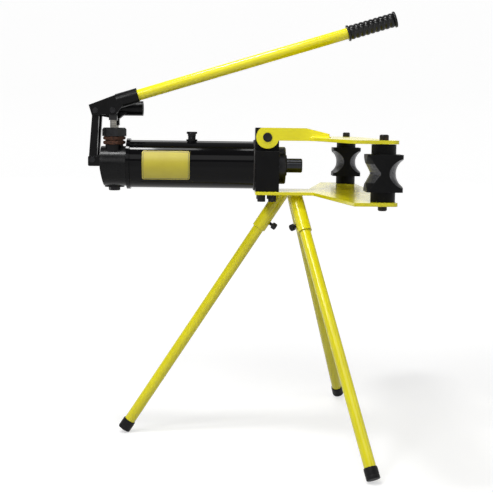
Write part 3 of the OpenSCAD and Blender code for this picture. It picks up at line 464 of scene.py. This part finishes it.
def eased(corners, radius, steps=5):
    """A profile through corner points, with each inner corner rounded by a quadratic arc of about that radius."""
    p = np.array(corners, float)
    before, after = p[:-2] - p[1:-1], p[2:] - p[1:-1]
    to_before, to_after = (np.linalg.norm(way, axis=1)[:, None] for way in (before, after))
    # Two arcs on one straight run each take less than half of it
    size = np.minimum(np.minimum(to_before, to_after) / 2.2, radius)
    start = p[1:-1] + before / to_before * size
    end = p[1:-1] + after / to_after * size
    t = np.linspace(0, 1, steps)[None, :, None]
    arcs = (1 - t) ** 2 * start[:, None] + 2 * t * (1 - t) * p[1:-1][:, None] + t ** 2 * end[:, None]
    return np.vstack([p[:1], arcs.reshape(-1, 2), p[-1:]])


def filled(profile, step):
    """A profile with points added along its straight runs, no further apart than a step."""
    p = np.array(profile, float)
    run = np.concatenate([[0], np.cumsum(np.linalg.norm(np.diff(p, axis=0), axis=1))])
    even = np.unique(np.concatenate([run, np.arange(0, run[-1], step)]))
    return np.stack([np.interp(even, run, p[:, 0]), np.interp(even, run, p[:, 1])], axis=1)


def knurl(teeth, depth, low, high, least):
    """A shape whose radius rises and falls round the axis, between two distances and beyond a least radius."""
    return lambda a, s, r: 1 - depth / r * (0.5 + 0.5 * np.cos(teeth * a)) * ((s > low) & (s < high) & (r > least))


def thread(pitch, depth, low, high):
    """A shape with a screw thread between two distances: the radius follows a triangle that climbs one pitch a turn."""
    def cut(a, s, r):
        phase = (s / pitch - a / (2 * np.pi)) % 1
        return 1 - depth / r * np.abs(2 * phase - 1) * ((s > low) & (s < high))
    return cut


def six_flats(low, high, across, most):
    """A shape with six flats between two distances and below a greatest radius: a hexagon of a given half width."""
    def cut(a, s, r):
        flat = across / np.cos((a + np.pi / 6) % (np.pi / 3) - np.pi / 6)
        return np.where((s > low) & (s < high) & (r < most), np.minimum(flat / r, 1.0), 1.0)
    return cut


def together(*shapes):
    """Several shapes at once: their factors multiplied."""
    return lambda a, s, r: functools.reduce(np.multiply, [shape(a, s, r) for shape in shapes])


def bead(path_mm, normal, radius_mm, ripple_mm, sides=10, swell=0.11, lean=1.3):
    """Points of a weld bead: a round section carried along a path in a plane, its radius swelling and shrinking by a
    share of itself once every ripple, with the swell leaning round the section as overlapping puddles do."""
    path = np.array(path_mm, float)
    step = np.gradient(path, axis=0)
    step /= np.linalg.norm(step, axis=1)[:, None]
    up = np.array(normal, float) / np.linalg.norm(normal)
    side = np.cross(up, step)
    run = np.concatenate([[0], np.cumsum(np.linalg.norm(np.diff(path, axis=0), axis=1))])
    angle = np.linspace(0, 2 * np.pi, sides, endpoint=False)
    wave = np.cos(2 * np.pi * run[:, None] / ripple_mm - lean * np.cos(angle)[None, :])
    reach = radius_mm * (1 + swell * wave)
    ring = np.cos(angle)[None, :, None] * side[:, None] + np.sin(angle)[None, :, None] * up
    return MM * (path[:, None] + reach[..., None] * ring)


def ring_bead(centre_mm, one, two, radii_mm, normal, radius_mm, ripple_mm, steps=360):
    """A weld bead round an ellipse with its two radii along two directions, its ripples a whole number."""
    turn = np.linspace(0, 2 * np.pi, steps + 1)[:, None]
    across, along = radii_mm[0] * np.array(one), radii_mm[1] * np.array(two)
    path = np.array(centre_mm) + np.cos(turn) * across + np.sin(turn) * along
    length = np.linalg.norm(np.diff(path, axis=0), axis=1).sum()
    return bead(path, normal, radius_mm, length / round(length / ripple_mm))[:-1]


def coil(rear_x, front_x, radius_mm, turns, wire_mm, steps=20, sides=8):
    """Points of a coil about the ram's axis: a round section carried along a helix, each section lying in the plane
    that holds the axis."""
    share = np.linspace(0, 1, steps * turns + 1)[:, None]
    angle = 2 * np.pi * turns * share
    around = np.linspace(0, 2 * np.pi, sides, endpoint=False)[None, :]
    reach = radius_mm + wire_mm * np.cos(around)
    along = rear_x + (front_x - rear_x) * share - wire_mm * np.sin(around)
    return MM * np.stack([along, reach * np.cos(angle), ram_z + reach * np.sin(angle)], axis=-1)


# Places that several pieces share, in millimetres
hinge = axis_point("yoke_swing") / MM
ram_z = 617.0
tube_r = 53.0
plate_under, plate_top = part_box("lower_plate")[0][2] / MM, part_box("upper_plate")[1][2] / MM

# Return spring: a coil of round wire about the ram, which the piston presses together
coil_low, coil_high = (np.array(c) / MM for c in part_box("return_spring"))
wire_r = 2.0
spring = skin("wound_return_spring",
              coil(coil_low[0] + wire_r, coil_high[0] - wire_r, radius_mm=(coil_high[1] - coil_low[1]) / 2 - wire_r,
                   turns=14, wire_mm=wire_r),
              cylinder_steel, "machine")
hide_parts("return_spring")
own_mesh(spring)

# Handle grip: flanges at both ends and broad ribs with narrow grooves between them, by distance from the lever's pivot
grip_from, ribs_from, ribs_to, grip_to = 579.0, 584.5, 684.0, 690.0
socket_lift, rib_count, groove_r, rib_height, flange_r = 6, 9, 14.2, 1.9, 17.9
handle_way = np.array(joints["handle_pull"]["axis"])
socket_line = axis_point("near_lever_pump") + socket_lift * MM * np.array([-handle_way[2], 0.0, handle_way[0]])
stations = np.linspace(ribs_from, ribs_to, 181)
rib_pitch = (ribs_to - ribs_from) / rib_count
ribs = (0.5 + 0.5 * np.cos(2 * np.pi * (stations - ribs_from) / rib_pitch - np.pi)) ** 0.45
grip_profile = np.vstack([
    eased([(grip_from, 12.7), (grip_from, flange_r), (583.6, flange_r), (584.4, groove_r)], radius=1.4),
    np.stack([stations, groove_r + rib_height * ribs], axis=1),
    eased([(684.2, groove_r), (685.0, flange_r), (grip_to, flange_r), (grip_to, 9.0)], radius=1.8),
])
grip = skin("ribbed_grip", turned(socket_line, handle_way, grip_profile, sides=56),
            grip_rubber, "handle")
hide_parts("handle_grip")

# Legs: rubber caps, thumb screws and the welds under the plate
foot_r, socket_r, weld_off = 14.5, 15.5, 0.4
# The thumb screw's outline, by distance out from the leg's middle line: a threaded shank and a knurled head
screw_head = eased([(21.4, 4.0), (21.5, 6.3), (22.8, 7.5), (31.0, 7.5), (32.5, 5.8), (32.5, 2.0)], radius=1.4)
screw_profile = filled(np.vstack([[(12.85, 3.9)], screw_head]), step=0.25)
screw_shape = together(thread(pitch=2.0, depth=0.7, low=13, high=21.2),
                       knurl(teeth=24, depth=0.6, low=23.0, high=30.8, least=7.0))
# The cap's outline, by distance back from its end: a lip, a barrel with a groove round it, and a rounded sole
cap_outline = np.array([
    (25, 12.55), (25, 14.0), (21, foot_r), (9.5, foot_r), (9, 14.1), (8, 14.1), (7.5, foot_r), (0.6, 14.4),
    (0.05, 12.8), (0.05, 5.0),
])
for side in ("rear", "near", "far"):
    down = np.array(joints[f"{side}_leg_pull"]["axis"])
    out = np.array(joints[f"{side}_thumb_screw_turn"]["axis"])
    screw_seat = axis_point(f"{side}_thumb_screw_turn")
    root = screw_seat + down * (plate_under * MM - screw_seat[2]) / down[2]
    splay = math.acos(-down[2])
    length = (plate_under - foot_r * math.sin(splay)) / math.cos(splay)
    cap_profile = eased(np.array([length, 0.0]) + cap_outline * (-1, 1), radius=1.2, steps=4)
    cap = skin(f"{side}_foot_cap", turned(root, down, cap_profile), foot_rubber, f"{side}_leg")
    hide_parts(f"{side}_foot")
    screw = skin(f"{side}_knurled_screw", turned(screw_seat, out, screw_profile, sides=96, shape=screw_shape),
                 black_steel, f"{side}_thumb_screw", crease=50)
    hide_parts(f"{side}_thumb_screw")
    flat = np.array([down[0], down[1], 0.0]) / math.hypot(down[0], down[1])
    across = np.cross((0.0, 0.0, 1.0), flat)
    round_socket = (socket_r / math.cos(splay) + weld_off, socket_r + weld_off)
    skin(f"{side}_socket_weld",
         ring_bead(root / MM, flat, across, round_socket, (0, 0, 1), radius_mm=2.6, ripple_mm=5.0),
         yellow, "machine", closed_rows=True)

# Weld between the reservoir tube and the head block
tube_end_x = hinge[0] - 27.7
round_tube = (tube_r + 1.3, tube_r + 1.3)
skin("tube_weld",
     ring_bead((tube_end_x, 0, ram_z), (0, 1, 0), (0, 0, 1), round_tube, (1, 0, 0), radius_mm=2.3, ripple_mm=5.5),
     weld_black, "machine", closed_rows=True)

# Welds round the feet of the lug arms, on the upper plate
arm_rear, arm_front, arm_inner, arm_outer = 95.0, 136.4, 38.5, 50.5
arm_foot = np.array([(arm_rear, arm_inner, 0), (arm_front, arm_inner, 0), (arm_front, arm_outer, 0),
                     (arm_rear, arm_outer, 0)])
for side, way in (("near", -1), ("far", 1)):
    corners = hinge + arm_foot * (1, way, 1)
    line = filled(eased(corners[:, :2], radius=4.0, steps=8), step=0.5)
    path = np.column_stack([line, np.full(len(line), plate_top)])
    skin(f"{side}_arm_weld", bead(path, (0, 0, 1), radius_mm=3.2, ripple_mm=5.2), yellow, "yoke")

# Filler plug: threaded neck, six flats under a round knurled cap, by height above the floor
plug_axis = axis_point("filler_plug_turn") * (1, 1, 0)
plug_profile = filled(np.vstack([
    [(663.2, 8.8), (673.0, 8.9), (680.4, 8.9), (680.8, 9.8), (684.8, 9.8), (684.9, 10.4)],
    eased([(685.1, 11.2), (685.6, 12.0), (689.0, 12.0), (690.0, 11.0), (690.0, 3.0)], radius=0.9, steps=6),
]), step=0.25)
plug_shape = together(thread(pitch=2.0, depth=0.8, low=673.2, high=680.3),
                      six_flats(low=680.6, high=684.7, across=9.1, most=10.0),
                      knurl(teeth=32, depth=0.5, low=685.8, high=688.8, least=11.5))
plug = skin("threaded_filler_plug", turned(plug_axis, (0, 0, 1), plug_profile, sides=96, shape=plug_shape),
            black_steel, "filler_plug", crease=50)
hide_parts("filler_plug")

# Label: plain vinyl wrapped on the tube, its back just under the paint


def label_rings(half_wide, half_high, corner, insets, arc_points=13, side_points=14):
    """Rounded rectangles set in from an outline: at each inset both half sizes and the corners shrink alike. Each ring
    runs over its four corner arcs, with points spaced evenly along the straight side that follows each arc."""
    turn = np.linspace(0, np.pi / 2, arc_points) + np.arange(4)[:, None] * np.pi / 2
    sign_u, sign_v = np.array([[1, -1, -1, 1], [1, 1, -1, -1]])[:, :, None]
    r = np.maximum(corner - insets, 0.02)[:, None, None]
    arcs = np.stack([
        sign_u * (half_wide - insets[:, None, None] - r) + r * np.cos(turn),
        sign_v * (half_high - insets[:, None, None] - r) + r * np.sin(turn),
    ], axis=-1)
    share = np.arange(1, side_points + 1)[:, None] / (side_points + 1)
    sides = arcs[:, :, -1:] * (1 - share) + np.roll(arcs, -1, axis=1)[:, :, :1] * share
    rings = np.concatenate([arcs, sides], axis=2)
    return rings.reshape(len(insets), -1, 2)


label_middle_x, label_turn = hinge[0] - 223.4, np.radians(-1.5)
label_back_r, label_face_r = tube_r - 0.02, tube_r + 0.25
# Rings lie close together by the edge, where the rule is
face_insets = np.concatenate([[0.0, 0.1], np.linspace(0.6, 3.6, 11), np.linspace(5, 33.2, 18)])
label_insets = np.concatenate([face_insets[::-1], face_insets])
label_flat = label_rings(half_wide=52.4, half_high=33.7, corner=5.0, insets=label_insets)
label_r = np.repeat([label_back_r, label_face_r], len(face_insets))[:, None]
label_a = label_turn + label_flat[..., 1] / tube_r
label_grid = MM * np.stack([
    label_middle_x + label_flat[..., 0], -label_r * np.cos(label_a), ram_z + label_r * np.sin(label_a)], axis=-1)
skin("plain_label", label_grid, label_vinyl, "machine", crease=60,
     inset=np.repeat(label_insets[:, None], label_flat.shape[1], axis=1))

# Cap screws under the head block: knurled heads with a six-sided recess, by height from the plate's underside
bolt_r, recess_r = 9.0, 5.4
bolt_low, bolt_high = (np.array(c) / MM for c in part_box("base_bolts"))
bolt_profile = filled(np.vstack([
    [(plate_under - 9.0, recess_r), (plate_under - 15.4, recess_r)],
    eased([(plate_under - 16.0, 5.9), (plate_under - 16.0, 8.4), (plate_under - 15.0, bolt_r),
           (plate_under, bolt_r)], radius=0.8, steps=4),
    [(plate_under + 0.2, bolt_r)],
]), step=0.5)
bolt_shape = together(
    six_flats(low=plate_under - 15.6, high=plate_under - 8.0, across=4.75, most=5.6),
    knurl(teeth=32, depth=0.4, low=plate_under - 14.6, high=plate_under - 1.2, least=8.5))
bolt_places = [(x, y) for x in (bolt_low[0] + bolt_r, bolt_high[0] - bolt_r)
               for y in (bolt_low[1] + bolt_r, bolt_high[1] - bolt_r)]
for i, (x, y) in enumerate(bolt_places):
    bolt_axis = np.array([x, y, 0.0]) * MM
    bolt = skin(f"cap_screw_{i + 1}", turned(bolt_axis, (0, 0, 1), bolt_profile, sides=96, shape=bolt_shape),
                black_steel, "machine", crease=50)
    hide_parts("base_bolts")

# Floor and light


def paper_dish(name, inner=0.3, floor_r=12.0, bend_r=1.2, wall_from=2.0, wall_top=4.2, sides=96):
    """A wide dish of white paper, in metres: a level floor that turns up through a quarter circle into a wall all
    round, so that every view ends on paper. Rows follow that path outward and columns go round it. To the eye, and in
    reflections, it glows enough to look white, less near the object, where the lamps do the rest and its shadow
    stays."""
    turn = np.linspace(0, np.pi / 2, 17)[1:]
    floor = np.linspace(inner, floor_r, 30)
    wall = np.linspace(wall_from, wall_top, 3)
    out = np.concatenate([floor, floor_r + bend_r * np.sin(turn), np.full_like(wall, floor_r + bend_r)])
    up = np.concatenate([np.zeros_like(floor), bend_r - bend_r * np.cos(turn), wall])
    angle = np.linspace(0, 2 * np.pi, sides, endpoint=False)
    points = np.stack(np.broadcast_arrays(
        out[:, None] * np.cos(angle), out[:, None] * np.sin(angle), up[:, None]), axis=-1)
    cells = np.arange(points.shape[0] * sides).reshape(-1, sides)
    cells = np.hstack([cells, cells[:, :1]])
    faces = np.stack([cells[:-1, :-1], cells[1:, :-1], cells[1:, 1:], cells[:-1, 1:]], axis=-1).reshape(-1, 4)
    mesh = bpy.data.meshes.new(name)
    mesh.from_pydata(points.reshape(-1, 3), [], faces.tolist() + [cells[0, :-1].tolist()])
    mesh.shade_smooth()
    made = bpy.data.objects.new(name, mesh)
    scene.collection.objects.link(made)
    paper, shader, node = begin("white_paper", {
        "Base Color": linear("b8b8b8"), "Roughness": 0.9, "Specular IOR Level": 0.1, "Emission Color": (1, 1, 1, 1)})
    rays = node("LightPath").node.outputs
    seen = node("Math", {0: rays["Is Camera Ray"], 1: rays["Is Glossy Ray"]}, operation="MAXIMUM")
    seen = node("Math", {0: seen, 1: rays["Is Transmission Ray"]}, operation="MAXIMUM")
    away = node("VectorMath", {0: node("TexCoord", out="Object")}, "Value", operation="LENGTH")
    glow = node("MapRange", {VALUE: away, LOW: 0.8, HIGH: 2.4, TO_LOW: 0.58, TO_HIGH: 0.88})
    wire(shader, {"Emission Strength": node("Math", {0: seen, 1: glow}, operation="MULTIPLY")})
    mesh.materials.append(paper)


def softbox(name, place, aim, wide, high, radiance):
    """A rectangular lamp of an even radiance, facing a point; its power is radiance times pi times its area."""
    data = bpy.data.lights.new(name, "AREA")
    data.shape = "RECTANGLE"
    data.size, data.size_y = wide, high
    data.energy = radiance * math.pi * wide * high
    made = bpy.data.objects.new(name, data)
    back = np.array(place, float) - np.array(aim, float)
    back /= np.linalg.norm(back)
    side = np.cross((0.0, 1.0, 0.0), back)
    side /= np.linalg.norm(side)
    facing = np.eye(4)
    facing[:3, :3] = np.stack([side, np.cross(back, side), back], axis=1)
    facing[:3, 3] = place
    made.matrix_world = Matrix(facing.tolist())
    scene.collection.objects.link(made)


paper_dish("paper_dish")
world = bpy.data.worlds.new("studio_room")
scene.world = world
world.use_nodes = True
wire(world.node_tree.nodes["Background"], {"Color": (1, 1, 1, 1), "Strength": 0.3})

# A bright lamp above the pumps, with a dimmer one beside it, and a broad dim one in front give the two bands along
# the black cylinder; the panel above the head lights the top of the ram
softbox("ceiling_lamp", place=(-0.49, -0.35, 2.59), aim=(-0.2, 0, 0.6), wide=0.32, high=0.34, radiance=62)
softbox("ceiling_spill", place=(-0.24, -0.35, 2.59), aim=(-0.1, 0, 0.6), wide=0.18, high=0.34, radiance=12)
softbox("ceiling_panel", place=(0.2, -0.35, 2.59), aim=(0.1, 0, 0.6), wide=0.36, high=0.32, radiance=11)
softbox("front_softbox", place=(-0.1, -2.1, 2.14), aim=(0, 0, 0.6), wide=2.4, high=1.0, radiance=1.9)
# One at the left front and dim ones at the right and the rear light the sides that those leave dark
softbox("left_softbox", place=(-1.1, -1.36, 2.08), aim=(0.1, -0.05, 0.5), wide=0.5, high=0.8, radiance=17)
softbox("right_panel", place=(2.4, -0.8, 1.6), aim=(0, 0, 0.6), wide=1.4, high=0.8, radiance=2.0)
softbox("rear_panel", place=(-0.3, 2.4, 2.4), aim=(0, 0, 0.6), wide=2.4, high=0.8, radiance=1.6)
